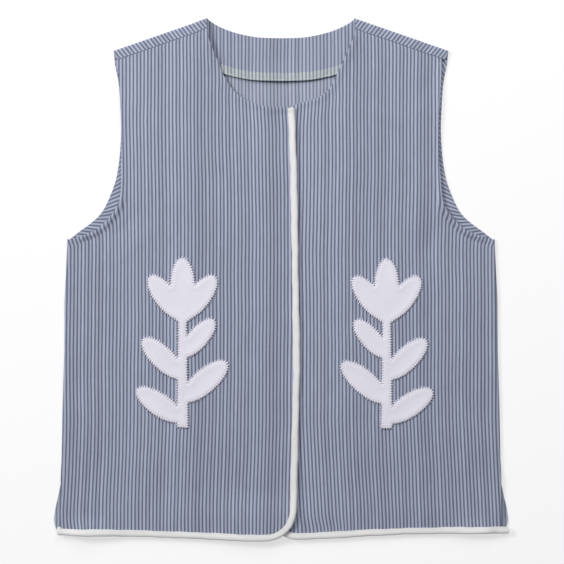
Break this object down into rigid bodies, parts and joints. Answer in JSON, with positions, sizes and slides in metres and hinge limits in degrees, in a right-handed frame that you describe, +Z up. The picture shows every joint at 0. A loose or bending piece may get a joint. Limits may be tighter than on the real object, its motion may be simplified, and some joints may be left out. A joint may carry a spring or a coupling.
{
  "type": "sleeveless striped waistcoat",
  "caption": "Sleeveless waistcoat of fine striped cotton, laid flat and closed, with cream bound edges, side vents and white plant sprigs on the fronts.",
  "frame": {"origin": "on the surface that the waistcoat lies on, at the middle of its footprint", "axes": "+X to the wearer's left, +Y from the hem to the neck, +Z up from the surface, with the fronts on top"},
  "size_m": [0.51, 0.5868, 0.0119],
  "materials": {
    "striped_cloth": "matt cotton, woven in fine lengthwise stripes of slate blue and pale grey",
    "cream_binding": "matt plain cream cotton",
    "white_applique": "matt plain white cotton"
  },
  "bodies": {
    "root": {"back": "striped_cloth", "front_right": "striped_cloth", "front_left": "striped_cloth", "neck_facing": "striped_cloth", "neck_tape": "cream_binding", "armhole_facing_right": "striped_cloth", "armhole_facing_left": "striped_cloth", "binding_front_right": "cream_binding", "binding_front_left": "cream_binding", "binding_back": "cream_binding", "applique_right": "white_applique", "applique_left": "white_applique"}
  },
  "joints": []
}
